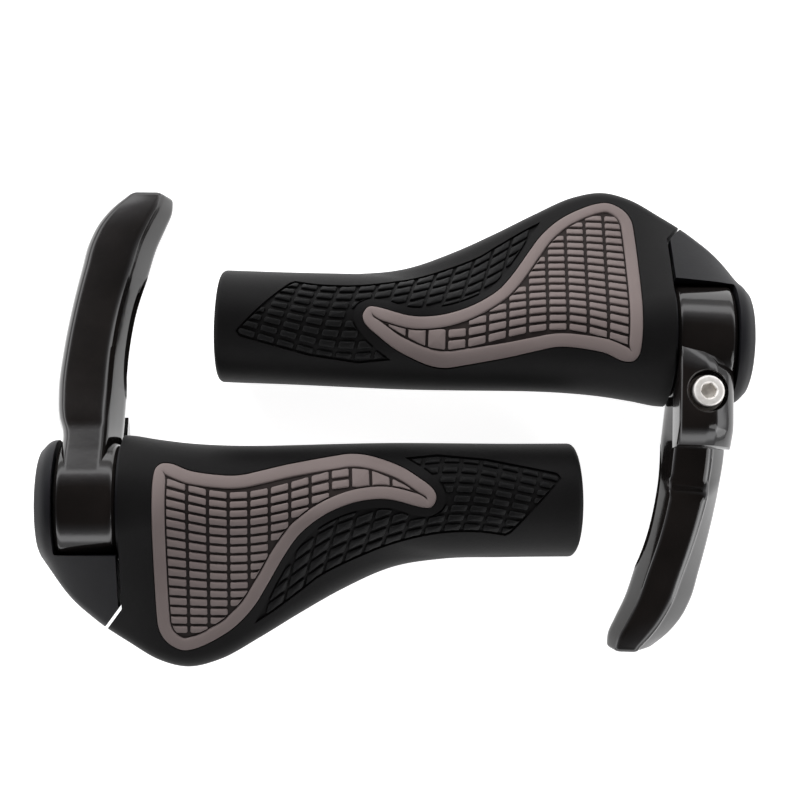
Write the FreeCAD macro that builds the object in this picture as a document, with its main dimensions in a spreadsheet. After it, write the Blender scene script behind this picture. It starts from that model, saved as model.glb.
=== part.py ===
# A pair of lock-on handlebar grips with bar ends: a left and a right unit lying on a flat surface.
#
# Each unit is modelled in its own frame and then laid down by its Placement:
#   +X runs along the handlebar axis, from the outboard end cap towards the rider,
#   +Y points towards the bar end (the horn), so the palm wing lies on the -Y side,
#   +Z points up once the unit lies down: the left unit shows its top face and the right one,
#      its mirror image, shows its underside, where the clamp bolt goes in.
import FreeCAD, Part
import math
import os

import Sketcher

doc = FreeCAD.newDocument("bar_end_grips")
Vector = FreeCAD.Vector
Rotation = FreeCAD.Rotation

# ---------------------------------------------------------------- driving dimensions
DIMENSIONS = {
    # handlebar bore and nylon core
    "bore_radius": 11.1,
    "core_start": 3.4,
    "core_end": 148.6,
    "core_radius": 12.9,
    "clamp_zone_radius": 12.6,
    "clamp_zone_end": 22.7,
    "flange_radius": 16.2,
    "flange_thickness": 0.9,
    "slot_width": 1.6,
    "slot_end": 20.5,
    "end_bead_radius": 13.1,
    "end_bead_width": 1.4,
    # rubber grip and its two inlays
    "grip_start": 23.6,
    "grip_end": 150.0,
    "inlay_depth": 1.4,
    "form_slab": 30.0,
    # clamp ring
    "ring_start": 6.3,
    "ring_width": 16.3,
    "ring_bore_radius": 12.65,
    "ring_radius": 16.5,
    # tongue of the clamp, slit and bolt, all measured in the tilted frame of the bolt
    "bolt_tilt": 16.0,
    "bolt_offset": 16.2,
    "tongue_face": 18.0,
    "tongue_length": 31.0,
    "tongue_tip_face": 13.5,
    "tongue_tip_start": 24.0,
    "tongue_half_width": 7.9,
    "slit_near": 5.8,
    "slit_width": 1.4,
    "slit_length": 45.0,
    "counterbore_radius": 5.7,
    "seat_level": 11.7,
    "clearance_hole_radius": 2.75,
    "thread_hole_radius": 2.55,
    "thread_depth": 7.0,
    # socket head cap bolt and washer
    "bolt_radius": 2.5,
    "bolt_head_radius": 4.25,
    "bolt_head_height": 5.0,
    "bolt_length": 16.0,
    "hex_across_flats": 4.0,
    "hex_depth": 2.6,
    "washer_radius": 5.0,
    "washer_thickness": 1.0,
    # end cap and badge
    "cap_wall_end": 5.8,
    "cap_socket_radius": 13.15,
    "cap_socket_start": 3.2,
    "cap_pocket_radius": 16.9,
    "cap_window_edge": -13.4,
    "cap_seam": 22.6,
    "seam_knee": -28.6,
    "seam_slope_x": 7.0,
    "seam_slope_y": 9.6,
    "badge_radius": 12.0,
    "badge_rise": 1.4,
    # how the units lie: where each one's outboard end is, and its angles in degrees
    "left_x": -99.366,
    "left_y": -21.738,
    "left_lift": 29.515,
    "left_turn": 0.0,
    "left_pitch": 5.14,
    "left_grip_roll": 0.0,
    "left_horn_roll": -14.15,
    "right_x": 99.534,
    "right_y": 22.562,
    "right_lift": 19.11,
    "right_turn": 178.0,
    "right_pitch": 0.97,
    "right_grip_roll": 19.1,
    "right_horn_roll": -8.59,
}

# Grip form: distance along the bar, radius of the round side, reach of the wing, radius of its edge.
FORM_STATIONS = [
    (1.4, 14.6, 15.2, 9.0),
    (3.4, 16.7, 18.2, 8.5),
    (8.0, 17.3, 24.9, 7.0),
    (16.0, 18.0, 32.6, 6.0),
    (25.0, 18.6, 38.9, 5.5),
    (33.0, 17.4, 43.8, 5.0),
    (41.0, 16.4, 45.9, 5.0),
    (50.0, 15.8, 44.0, 5.2),
    (61.0, 15.6, 38.1, 6.0),
    (72.0, 15.8, 31.5, 7.5),
    (84.0, 16.1, 24.8, 9.5),
    (98.0, 16.3, 18.8, 11.0),
    (112.0, 16.2, 16.6, 12.0),
    (130.0, 16.0, 16.3, 12.0),
    (150.0, 16.0, 16.3, 12.0),
]

# Horn: distance from the bar axis, middle and half width along the bar, half thickness.
HORN_STATIONS = [
    (0.0, 14.45, 8.15, 16.4),
    (10.0, 14.45, 8.15, 13.6),
    (20.0, 14.4, 8.3, 11.2),
    (30.0, 14.3, 8.8, 9.9),
    (42.5, 14.9, 8.4, 8.8),
    (55.0, 16.6, 8.4, 7.9),
    (67.0, 19.2, 8.6, 7.2),
    (78.0, 22.4, 8.4, 6.6),
    (85.5, 26.4, 7.6, 5.9),
    (90.0, 29.6, 5.2, 4.8),
]

# Outline of the inlay seen from above, a closed smooth curve.
INLAY_OUTLINE = [
    (32.9, 9.0),
    (35.2, 11.4),
    (42.9, 9.3),
    (53.0, 8.0),
    (69.5, 11.1),
    (85.0, 13.6),
    (99.4, 10.4),
    (108.4, 3.9),
    (107.2, -1.0),
    (96.8, 1.3),
    (85.3, 0.3),
    (72.2, -7.7),
    (63.5, -21.6),
    (54.8, -33.6),
    (40.8, -40.5),
    (33.8, -35.3),
    (32.6, -15.0),
]


def fill_sheet():
    """Puts every driving dimension in the spreadsheet under its own name."""
    rows = dict(DIMENSIONS)
    for number, values in enumerate(FORM_STATIONS, start=1):
        for word, value in zip(("place", "radius", "reach", "edge"), values):
            rows[f"form_{word}_{number}"] = value
    for number, values in enumerate(HORN_STATIONS, start=1):
        for word, value in zip(("place", "middle", "width", "depth"), values):
            rows[f"horn_{word}_{number}"] = value
    for number, values in enumerate(INLAY_OUTLINE, start=1):
        for word, value in zip(("along", "across"), values):
            rows[f"inlay_{word}_{number}"] = value
    sheet = doc.addObject("Spreadsheet::Sheet", "dims")
    for row, (alias, value) in enumerate(rows.items(), start=1):
        sheet.set(f"A{row}", alias)
        sheet.set(f"B{row}", str(value))
        sheet.setAlias(f"B{row}", alias)
    doc.recompute()
    return sheet


sheet = fill_sheet()


def dim(alias):
    return float(sheet.get(alias))


# ---------------------------------------------------------------- helpers for bodies and sketches
def new_body(name):
    return doc.addObject("PartDesign::Body", name)


def new_sketch(body, name, plane, offset=None):
    """A sketch on one of the body's own origin planes, lifted by a fixed or bound offset."""
    sketch = body.newObject("Sketcher::SketchObject", name)
    origin_plane = [item for item in body.Origin.OriginFeatures if item.Role == plane][0]
    sketch.AttachmentSupport = [(origin_plane, "")]
    sketch.MapMode = "FlatFace"
    if offset is not None:
        sketch.setExpression("AttachmentOffset.Base.z", offset)
    return sketch


def bind_last(sketch, expression):
    """Binds the constraint that was added last to a cell or formula."""
    sketch.setExpression(f"Constraints[{sketch.ConstraintCount - 1}]", expression)


def add_circle(sketch, radius, across="0", up="0"):
    """A circle whose radius and centre follow the sheet."""
    circle = sketch.addGeometry(Part.Circle(Vector(1, 1, 0), Vector(0, 0, 1), 3), False)
    sketch.addConstraint(Sketcher.Constraint("Radius", circle, 3))
    bind_last(sketch, radius)
    sketch.addConstraint(Sketcher.Constraint("DistanceX", -1, 1, circle, 3, 1))
    bind_last(sketch, across)
    sketch.addConstraint(Sketcher.Constraint("DistanceY", -1, 1, circle, 3, 1))
    bind_last(sketch, up)
    return circle


def add_polygon(sketch, corners):
    """A closed outline of straight lines; each corner is a pair of sheet formulas."""
    start = []
    for across, up in corners:
        start.append(Vector(evaluate(across), evaluate(up), 0))
    lines = []
    for index, point in enumerate(start):
        following = start[(index + 1) % len(start)]
        lines.append(sketch.addGeometry(Part.LineSegment(point, following), False))
    for index, line in enumerate(lines):
        before = lines[index - 1]
        sketch.addConstraint(Sketcher.Constraint("Coincident", before, 2, line, 1))
    for line, point, (across, up) in zip(lines, start, corners):
        sketch.addConstraint(Sketcher.Constraint("DistanceX", -1, 1, line, 1, point.x))
        bind_last(sketch, across)
        sketch.addConstraint(Sketcher.Constraint("DistanceY", -1, 1, line, 1, point.y))
        bind_last(sketch, up)
    return lines


def evaluate(formula):
    """The value of a sheet formula, to start a sketch close to its solved shape."""
    return float(sheet.evalExpression(formula.replace("dims.", "")))


def add_pad(body, name, sketch, length, midplane=False, reverse=False):
    pad = body.newObject("PartDesign::Pad", name)
    pad.Profile = sketch
    pad.setExpression("Length", length)
    pad.Midplane = midplane
    pad.Reversed = reverse
    return pad


def add_pocket(body, name, sketch, length, midplane=False, reverse=False):
    """Cuts the sketch out of the body and makes sure that something was removed."""
    doc.recompute()
    before = body.Shape.Volume
    pocket = body.newObject("PartDesign::Pocket", name)
    pocket.Profile = sketch
    pocket.setExpression("Length", length)
    pocket.Midplane = midplane
    pocket.Reversed = reverse
    doc.recompute()
    if body.Shape.Volume > before - 0.01:
        raise RuntimeError(f"{name} removes nothing")
    return pocket


def boolean(kind, name, base, tool):
    """A Part boolean of two objects, such as Cut or Common."""
    result = doc.addObject(f"Part::{kind}", name)
    result.Base = base
    result.Tool = tool
    return result


# ---------------------------------------------------------------- outer form of the grip
def add_wing_section(sketch, number, inset):
    """The outline at one station: a round side and a slim wing edge joined by tangent lines."""
    radius = dim(f"form_radius_{number}") - inset * dim("inlay_depth")
    edge = dim(f"form_edge_{number}") - inset * dim("inlay_depth")
    spread = dim(f"form_reach_{number}") - dim(f"form_edge_{number}")
    turn = math.acos((radius - edge) / spread)
    # in this sketch the wing points along -X and the lines touch both circles at +-turn
    round_side = Part.Circle(Vector(0, 0, 0), Vector(0, 0, 1), radius)
    wing_edge = Part.Circle(Vector(-spread, 0, 0), Vector(0, 0, 1), edge)
    near_turn = math.pi - turn
    far_turn = math.pi + turn
    big = sketch.addGeometry(Part.ArcOfCircle(round_side, far_turn - 2 * math.pi, near_turn), False)
    small = sketch.addGeometry(Part.ArcOfCircle(wing_edge, near_turn, far_turn), False)

    def touch(angle, middle, size):
        return Vector(middle + size * math.cos(angle), size * math.sin(angle), 0)

    upper = Part.LineSegment(touch(near_turn, 0, radius), touch(near_turn, -spread, edge))
    lower = Part.LineSegment(touch(far_turn, -spread, edge), touch(far_turn, 0, radius))
    top = sketch.addGeometry(upper, False)
    bottom = sketch.addGeometry(lower, False)
    for first, first_end, second, second_end in (
        (big, 2, top, 1), (top, 2, small, 1), (small, 2, bottom, 1), (bottom, 2, big, 1),
    ):
        sketch.addConstraint(Sketcher.Constraint("Tangent", first, first_end, second, second_end))
    sketch.addConstraint(Sketcher.Constraint("Coincident", big, 3, -1, 1))
    sketch.addConstraint(Sketcher.Constraint("PointOnObject", small, 3, -1))
    sketch.addConstraint(Sketcher.Constraint("Radius", big, radius))
    bind_last(sketch, f"dims.form_radius_{number} - {inset} * dims.inlay_depth")
    sketch.addConstraint(Sketcher.Constraint("Radius", small, edge))
    bind_last(sketch, f"dims.form_edge_{number} - {inset} * dims.inlay_depth")
    sketch.addConstraint(Sketcher.Constraint("DistanceX", small, 3, -1, 1, spread))
    bind_last(sketch, f"dims.form_reach_{number} - dims.form_edge_{number}")


def make_form(name, inset):
    """The whole outer form; inset 1 makes it smaller by one inlay depth all round."""
    body = new_body(name)
    sections = []
    for number in range(1, len(FORM_STATIONS) + 1):
        sketch = new_sketch(body, f"{name}_section_{number}", "YZ_Plane", f"dims.form_place_{number}")
        add_wing_section(sketch, number, inset)
        sections.append(sketch)
    doc.recompute()
    loft = body.newObject("PartDesign::AdditiveLoft", f"{name}_loft")
    loft.Profile = sections[0]
    loft.Sections = sections[1:]
    doc.recompute()
    return body


# ---------------------------------------------------------------- the grip: core, rubber, inlays
def add_tube(body, name, outer, inner, start, length):
    """A plain tube along the bar axis."""
    sketch = new_sketch(body, f"{name}_ring", "YZ_Plane", start)
    add_circle(sketch, outer)
    add_circle(sketch, inner)
    return add_pad(body, name, sketch, length)


def make_core(side):
    """Nylon core: the clamp zone is slotted so that the ring can squeeze it on to the bar."""
    body = new_body(f"{side}_core_sleeve")
    add_tube(body, f"{side}_core_tube", "dims.core_radius", "dims.bore_radius",
             "dims.clamp_zone_end", "dims.core_end - dims.clamp_zone_end")
    add_tube(body, f"{side}_clamp_zone", "dims.clamp_zone_radius", "dims.bore_radius",
             "dims.core_start", "dims.clamp_zone_end - dims.core_start")
    add_tube(body, f"{side}_flange", "dims.flange_radius", "dims.bore_radius",
             "dims.clamp_zone_end", "dims.flange_thickness")
    add_tube(body, f"{side}_end_bead", "dims.end_bead_radius", "dims.bore_radius",
             "dims.core_start", "dims.end_bead_width")
    sketch = new_sketch(body, f"{side}_slot_outline", "XY_Plane")
    add_polygon(sketch, [
        ("dims.core_start - 1", "-dims.slot_width / 2"),
        ("dims.slot_end", "-dims.slot_width / 2"),
        ("dims.slot_end", "dims.slot_width / 2"),
        ("dims.core_start - 1", "dims.slot_width / 2"),
    ])
    slot = add_pocket(body, f"{side}_slot", sketch, "4 * dims.core_radius", midplane=True)
    turned = body.newObject("PartDesign::PolarPattern", f"{side}_slots")
    turned.Originals = [slot]
    turned.Axis = (sketch, ["H_Axis"])
    turned.Angle = 180.0
    turned.Occurrences = 2
    body.Tip = turned
    return body


def make_inlay_prism(name, upward):
    """A tall block under the inlay outline, on the top or on the bottom side."""
    body = new_body(name)
    sketch = new_sketch(body, f"{name}_outline", "XY_Plane")
    points = []
    for number in range(1, len(INLAY_OUTLINE) + 1):
        points.append(Vector(dim(f"inlay_along_{number}"), dim(f"inlay_across_{number}"), 0))
    curve = Part.BSplineCurve()
    curve.interpolate(points, PeriodicFlag=True)
    sketch.addGeometry(curve, False)
    add_pad(body, f"{name}_pad", sketch, "dims.form_slab", reverse=not upward)
    return body


def make_outboard_block(name, seam):
    """The space outboard of the seam; the seam turns outwards where it nears the wing's edge."""
    body = new_body(name)
    sketch = new_sketch(body, f"{name}_outline", "XY_Plane")
    add_polygon(sketch, [
        ("-5", "dims.form_slab"),
        (seam, "dims.form_slab"),
        (seam, "dims.seam_knee"),
        (f"{seam} - dims.seam_slope_x", "dims.seam_knee - dims.seam_slope_y"),
        ("-5", "dims.seam_knee - dims.seam_slope_y"),
    ])
    add_pad(body, f"{name}_pad", sketch, "2 * dims.form_slab", midplane=True)
    return body


def make_core_envelope(side):
    """What the core fills inside the rubber."""
    body = new_body(f"{side}_core_envelope")
    sketch = new_sketch(body, f"{side}_envelope_circle", "YZ_Plane")
    add_circle(sketch, "dims.core_radius")
    add_pad(body, f"{side}_envelope_pad", sketch, "dims.grip_end + 5")
    return body


def make_grip(side, form, top):
    """The rubber with its two inlays of softer compound, each laid in a shallow recess."""
    small_form = make_form(f"{side}_small_form", 1)
    blank = boolean("Cut", f"{side}_blank", form, make_outboard_block(f"{side}_outboard", "dims.grip_start"))
    bored = boolean("Cut", f"{side}_bored", blank, make_core_envelope(side))
    inlays = []
    recesses = []
    for word, upward in (("top", top > 0), ("bottom", top < 0)):
        prism = make_inlay_prism(f"{side}_{word}_prism", upward)
        recess = boolean("Cut", f"{side}_{word}_recess", prism, small_form)
        inlays.append(boolean("Common", f"{side}_{word}_inlay", form, recess))
        recesses.append(recess)
    upper_cut = boolean("Cut", f"{side}_upper_cut", bored, recesses[0])
    rubber = boolean("Cut", f"{side}_rubber_grip", upper_cut, recesses[1])
    return [rubber] + inlays


# ---------------------------------------------------------------- the bar end and its clamp
def tilted(along, depth, top):
    """A point of the bolt's tilted frame, as a place across the bar: along the slit, then depth."""
    tilt = math.radians(dim("bolt_tilt"))
    across = along * math.cos(tilt) + depth * math.sin(tilt)
    up = -along * math.sin(tilt) + depth * math.cos(tilt)
    return Vector(0, across, top * up)


def tilted_prism(name, corners, start, width, top):
    """A block along the bar with an outline given in the bolt's tilted frame."""
    points = []
    for along, depth in corners:
        points.append(tilted(along, depth, top) + Vector(start, 0, 0))
    face = Part.Face(Part.makePolygon(points + points[:1]))
    feature = doc.addObject("Part::Feature", name)
    feature.Shape = face.extrude(Vector(width, 0, 0))
    return feature


def bolt_cylinder(name, radius, start, end, top):
    """A cylinder on the bolt's axis between two depths."""
    middle = dim("ring_start") + dim("ring_width") / 2
    base = tilted(dim("bolt_offset"), start, top) + Vector(middle, 0, 0)
    tip = tilted(dim("bolt_offset"), end, top) + Vector(middle, 0, 0)
    cylinder = doc.addObject("Part::Cylinder", name)
    cylinder.setExpression("Radius", radius)
    cylinder.Height = end - start
    cylinder.Placement = FreeCAD.Placement(base, Rotation(Vector(0, 0, 1), tip - base))
    return cylinder


def fuse(name, pieces):
    result = doc.addObject("Part::MultiFuse", name)
    result.Shapes = pieces
    return result


def make_horn(name):
    """The horn: eight-sided sections with soft creases, lofted away from the bar."""
    body = new_body(name)
    sections = []
    for number in range(1, len(HORN_STATIONS) + 1):
        sketch = new_sketch(body, f"{name}_section_{number}", "XZ_Plane", f"-dims.horn_place_{number}")
        middle = f"dims.horn_middle_{number}"
        width = f"dims.horn_width_{number}"
        depth = f"dims.horn_depth_{number}"
        corners = []
        for across, up in (
            (1, -0.4), (1, 0.4), (0.5, 1), (-0.5, 1), (-1, 0.4), (-1, -0.4), (-0.5, -1), (0.5, -1),
        ):
            corners.append((f"{middle} + {across} * {width}", f"{up} * {depth}"))
        add_polygon(sketch, corners)
        sections.append(sketch)
    doc.recompute()
    loft = body.newObject("PartDesign::AdditiveLoft", f"{name}_loft")
    loft.Profile = sections[0]
    loft.Sections = sections[1:]
    return body


def make_bar_end(side, top):
    """Clamp ring, horn and tongue in one alloy casting, split by the slit that the bolt closes."""
    ring = new_body(f"{side}_ring_blank")
    sketch = new_sketch(ring, f"{side}_ring_outline", "YZ_Plane", "dims.ring_start")
    add_circle(sketch, "dims.ring_radius")
    add_pad(ring, f"{side}_ring_pad", sketch, "dims.ring_width")
    horn = make_horn(f"{side}_horn")
    face = -dim("tongue_face")
    tip_face = -dim("tongue_tip_face")
    length = dim("tongue_length")
    root = -dim("slit_near")
    width = 2 * dim("tongue_half_width")
    start = dim("ring_start") + dim("ring_width") / 2 - dim("tongue_half_width")
    slope_start = dim("tongue_tip_start")
    tongue = tilted_prism(f"{side}_tongue_blank", [
        (6, root), (5, face + 3), (9, face), (slope_start, face), (length, tip_face), (length, root),
    ], start, width, top)
    solid = fuse(f"{side}_bar_end_blank", [ring, horn, tongue])
    slit = tilted_prism(f"{side}_slit", [
        (10, root), (10, root - dim("slit_width")),
        (dim("slit_length"), root - dim("slit_width")), (dim("slit_length"), root),
    ], start - 5, width + 10, top)
    bore = doc.addObject("Part::Cylinder", f"{side}_ring_bore")
    bore.setExpression("Radius", "dims.ring_bore_radius")
    bore.setExpression("Height", "dims.ring_width + 10")
    bore.Placement = FreeCAD.Placement(Vector(dim("ring_start") - 5, 0, 0), Rotation(Vector(0, 1, 0), 90))
    seat = -dim("seat_level")
    recess = bolt_cylinder(f"{side}_counterbore", "dims.counterbore_radius", face - 4, seat, top)
    hole = bolt_cylinder(f"{side}_clearance_hole", "dims.clearance_hole_radius", seat - 1, root, top)
    thread = bolt_cylinder(f"{side}_thread_hole", "dims.thread_hole_radius", root - 1,
                           dim("thread_depth"), top)
    tools = fuse(f"{side}_bar_end_cuts", [bore, slit, recess, hole, thread])
    return boolean("Cut", f"{side}_bar_end", solid, tools)


def make_bolt(side, top):
    """M5 socket head cap bolt with a hexagon socket."""
    washer = dim("washer_thickness")
    under_head = -dim("seat_level") - washer
    head = bolt_cylinder(f"{side}_bolt_head", "dims.bolt_head_radius",
                         under_head - dim("bolt_head_height"), under_head, top)
    shank = bolt_cylinder(f"{side}_bolt_shank", "dims.bolt_radius", under_head - 1,
                          under_head + dim("bolt_length"), top)
    socket = doc.addObject("Part::Prism", f"{side}_hex_socket")
    socket.Polygon = 6
    socket.setExpression("Circumradius", "dims.hex_across_flats / 1.7321")
    socket.setExpression("Height", "dims.hex_depth + 1")
    middle = Vector(dim("ring_start") + dim("ring_width") / 2, 0, 0)
    base = tilted(dim("bolt_offset"), under_head - dim("bolt_head_height") - 1, top) + middle
    inward = tilted(0, 1, top)
    socket.Placement = FreeCAD.Placement(base, Rotation(Vector(0, 0, 1), inward))
    return boolean("Cut", f"{side}_clamp_bolt", fuse(f"{side}_bolt_blank", [head, shank]), socket)


def make_washer(side, top):
    seat = -dim("seat_level")
    thickness = dim("washer_thickness")
    disc = bolt_cylinder(f"{side}_washer_disc", "dims.washer_radius", seat - thickness, seat, top)
    hole = bolt_cylinder(f"{side}_washer_hole", "dims.clearance_hole_radius", seat - thickness - 1,
                         seat + 1, top)
    return boolean("Cut", f"{side}_bolt_washer", disc, hole)


# ---------------------------------------------------------------- end cap and badge
def make_end_cap(side, form):
    """Plastic cap: an end wall and the filler behind the ring, open at the front for the horn."""
    block = make_outboard_block(f"{side}_cap_side", "dims.cap_seam")
    keep = boolean("Common", f"{side}_cap_blank", form, block)
    cuts = new_body(f"{side}_cap_cuts")
    window = new_sketch(cuts, f"{side}_window_outline", "XY_Plane")
    add_polygon(window, [
        ("dims.cap_wall_end", "dims.cap_window_edge"),
        ("dims.grip_start + 5", "dims.cap_window_edge"),
        ("dims.grip_start + 5", "dims.form_slab"),
        ("dims.cap_wall_end", "dims.form_slab"),
    ])
    add_pad(cuts, f"{side}_window", window, "2 * dims.form_slab", midplane=True)
    pocket = new_sketch(cuts, f"{side}_pocket_circle", "YZ_Plane", "dims.cap_wall_end")
    add_circle(pocket, "dims.cap_pocket_radius")
    add_pad(cuts, f"{side}_ring_pocket", pocket, "dims.grip_start + 5 - dims.cap_wall_end")
    socket = new_sketch(cuts, f"{side}_socket_circle", "YZ_Plane", "dims.cap_socket_start")
    add_circle(socket, "dims.cap_socket_radius")
    add_pad(cuts, f"{side}_core_socket", socket, "dims.grip_start - dims.cap_socket_start")
    return boolean("Cut", f"{side}_end_cap", keep, cuts)


def make_badge(side):
    """Blank domed disc on the end of the cap."""
    radius = dim("badge_radius")
    rise = dim("badge_rise")
    face = dim("form_place_1")
    sphere_radius = (radius ** 2 + rise ** 2) / (2 * rise)
    half_turn = math.asin(radius / sphere_radius)
    badge = new_body(f"{side}_end_badge")
    sketch = new_sketch(badge, f"{side}_badge_profile", "XY_Plane")
    sphere = Part.Circle(Vector(face - rise + sphere_radius, 0, 0), Vector(0, 0, 1), sphere_radius)
    rim = Vector(face, radius, 0)
    middle = Vector(face, 0, 0)
    pole = Vector(face - rise, 0, 0)
    sketch.addGeometry(Part.ArcOfCircle(sphere, math.pi - half_turn, math.pi), False)
    sketch.addGeometry(Part.LineSegment(pole, middle), False)
    sketch.addGeometry(Part.LineSegment(middle, rim), False)
    sketch.addConstraint(Sketcher.Constraint("Coincident", 0, 2, 1, 1))
    sketch.addConstraint(Sketcher.Constraint("Coincident", 1, 2, 2, 1))
    sketch.addConstraint(Sketcher.Constraint("Coincident", 2, 2, 0, 1))
    turned = badge.newObject("PartDesign::Revolution", f"{side}_badge_dome")
    turned.Profile = sketch
    turned.ReferenceAxis = (sketch, ["H_Axis"])
    turned.Angle = 360.0
    return badge


# ---------------------------------------------------------------- laying the units down
def lie_down(side, roll):
    """The placement of a piece: rolled about the bar axis, pitched, turned and set down."""
    turn = Rotation(Vector(0, 0, 1), dim(f"{side}_turn"))
    pitch = Rotation(Vector(0, 1, 0), dim(f"{side}_pitch"))
    spin = Rotation(Vector(1, 0, 0), roll)
    place = Vector(dim(f"{side}_x"), dim(f"{side}_y"), dim(f"{side}_lift"))
    return FreeCAD.Placement(place, turn.multiply(pitch).multiply(spin))


def make_unit(side, top):
    """One whole unit; top is 1 where its top face is up and -1 where its underside is."""
    form = make_form(f"{side}_form", 0)
    fixed = [make_core(side)] + make_grip(side, form, top) + [make_end_cap(side, form), make_badge(side)]
    turning = [make_bar_end(side, top), make_bolt(side, top), make_washer(side, top)]
    doc.recompute()
    for pieces, roll_name in ((fixed, "grip_roll"), (turning, "horn_roll")):
        placement = lie_down(side, dim(f"{side}_{roll_name}"))
        for piece in pieces:
            piece.Placement = placement
    return fixed + turning


def check_and_export(pieces):
    """Stops if anything failed, then writes each piece to its own file."""
    doc.recompute()
    for item in doc.Objects:
        if "Invalid" in item.State or "Error" in item.State:
            raise RuntimeError(f"{item.Name} failed: {item.State}")
    os.makedirs("parts", exist_ok=True)
    for piece in pieces:
        piece.Label = piece.Name
        if piece.Shape.isNull() or not piece.Shape.isValid():
            raise RuntimeError(f"{piece.Name} has no valid shape")
        piece.Shape.exportStep(f"parts/{piece.Label}.step")
        print(piece.Label, len(piece.Shape.Solids), round(piece.Shape.Volume, 1))


check_and_export(make_unit("left", 1) + make_unit("right", -1))
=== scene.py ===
import math

import bmesh
import bpy
import numpy as np
from mathutils import Matrix, Vector


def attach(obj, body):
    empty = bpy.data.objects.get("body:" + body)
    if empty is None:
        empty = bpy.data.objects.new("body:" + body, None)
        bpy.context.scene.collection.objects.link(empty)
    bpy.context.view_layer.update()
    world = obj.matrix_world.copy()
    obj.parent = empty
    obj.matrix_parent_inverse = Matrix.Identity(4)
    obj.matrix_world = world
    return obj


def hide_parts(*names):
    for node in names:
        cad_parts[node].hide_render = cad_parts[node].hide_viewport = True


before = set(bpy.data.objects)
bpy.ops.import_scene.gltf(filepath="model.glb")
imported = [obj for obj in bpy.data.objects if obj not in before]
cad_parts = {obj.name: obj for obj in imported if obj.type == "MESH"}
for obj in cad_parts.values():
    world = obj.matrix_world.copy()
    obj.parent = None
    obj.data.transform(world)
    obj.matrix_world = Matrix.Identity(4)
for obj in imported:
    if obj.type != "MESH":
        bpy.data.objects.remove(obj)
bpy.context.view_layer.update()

MM = 0.001

# ---------------------------------------------------------------- how the units lie
# Each unit's own frame: X along the bar from the cap inboard, Y towards the horn, Z up.
# "up" is 1 where the top face is up, and -1 on the mirror unit, whose underside is up.
UNITS = {
    "left": {
        "place": (-99.366, -21.738, 29.515), "turn": 0.0, "pitch": 5.14,
        "grip_roll": 0.0, "horn_roll": -14.15, "up": 1,
    },
    "right": {
        "place": (99.534, 22.562, 19.11), "turn": 178.0, "pitch": 0.97,
        "grip_roll": 19.1, "horn_roll": -8.59, "up": -1,
    },
}

# Distance along the bar, radius of the round side, reach of the wing, radius of its edge, all mm.
FORM_STATIONS = [
    (1.4, 14.6, 15.2, 9.0),
    (3.4, 16.7, 18.2, 8.5),
    (8.0, 17.3, 24.9, 7.0),
    (16.0, 18.0, 32.6, 6.0),
    (25.0, 18.6, 38.9, 5.5),
    (33.0, 17.4, 43.8, 5.0),
    (41.0, 16.4, 45.9, 5.0),
    (50.0, 15.8, 44.0, 5.2),
    (61.0, 15.6, 38.1, 6.0),
    (72.0, 15.8, 31.5, 7.5),
    (84.0, 16.1, 24.8, 9.5),
    (98.0, 16.3, 18.8, 11.0),
    (112.0, 16.2, 16.6, 12.0),
    (130.0, 16.0, 16.3, 12.0),
    (150.0, 16.0, 16.3, 12.0),
]

# Distance from the bar axis, middle and half width along the bar, half thickness, all mm.
HORN_STATIONS = [
    (0.0, 14.45, 8.15, 16.4),
    (10.0, 14.45, 8.15, 13.6),
    (18.8, 14.45, 8.2, 11.4),
    (22.0, 14.05, 8.8, 11.0),
    (30.0, 13.9, 9.4, 9.9),
    (42.5, 14.6, 9.2, 8.8),
    (55.0, 16.4, 9.2, 7.9),
    (67.0, 19.1, 9.6, 7.2),
    (75.5, 21.2, 9.8, 6.7),
    (82.0, 24.0, 9.6, 6.2),
    (86.3, 26.5, 8.7, 5.6),
    (90.0, 28.7, 6.7, 4.9),
]


def unit_matrix(side, roll):
    """From a unit's own frame in mm to the world in metres."""
    unit = UNITS[side]
    turn = Matrix.Rotation(math.radians(unit["turn"]), 4, "Z")
    pitch = Matrix.Rotation(math.radians(unit["pitch"]), 4, "Y")
    spin = Matrix.Rotation(math.radians(unit[roll]), 4, "X")
    place = Matrix.Translation(Vector(unit["place"]) * MM)
    return place @ turn @ pitch @ spin @ Matrix.Scale(MM, 4)


# ---------------------------------------------------------------- smooth curves through points
def smooth(stations, column, at):
    """A smooth curve through one column of a table, read at the places given."""
    table = np.array(stations)
    x, y = table[:, 0], table[:, column]
    step = np.diff(x)
    slope = np.diff(y) / step
    tangent = np.empty_like(y)
    tangent[0], tangent[-1] = slope[0], slope[-1]
    tangent[1:-1] = (slope[:-1] * step[1:] + slope[1:] * step[:-1]) / (step[:-1] + step[1:])
    at = np.clip(np.asarray(at, dtype=float), x[0], x[-1])
    cell = np.clip(np.searchsorted(x, at, side="right") - 1, 0, len(step) - 1)
    size = step[cell]
    t = (at - x[cell]) / size
    h00 = (1 + 2 * t) * (1 - t) ** 2
    h10 = t * (1 - t) ** 2
    h01 = t * t * (3 - 2 * t)
    h11 = t * t * (t - 1)
    return h00 * y[cell] + h10 * size * tangent[cell] + h01 * y[cell + 1] + h11 * size * tangent[cell + 1]


def spline(before, here, after, beyond, steps):
    """Points on the Catmull-Rom pieces that run from each place to the one after it."""
    t = np.linspace(0, 1, steps, endpoint=False)[:, None, None]
    dense = 0.5 * (2 * here + (after - before) * t
                   + (2 * before - 5 * here + 4 * after - beyond) * t ** 2
                   + (3 * here - before - 3 * after + beyond) * t ** 3)
    return dense.transpose(1, 0, 2).reshape(-1, 2)


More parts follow.
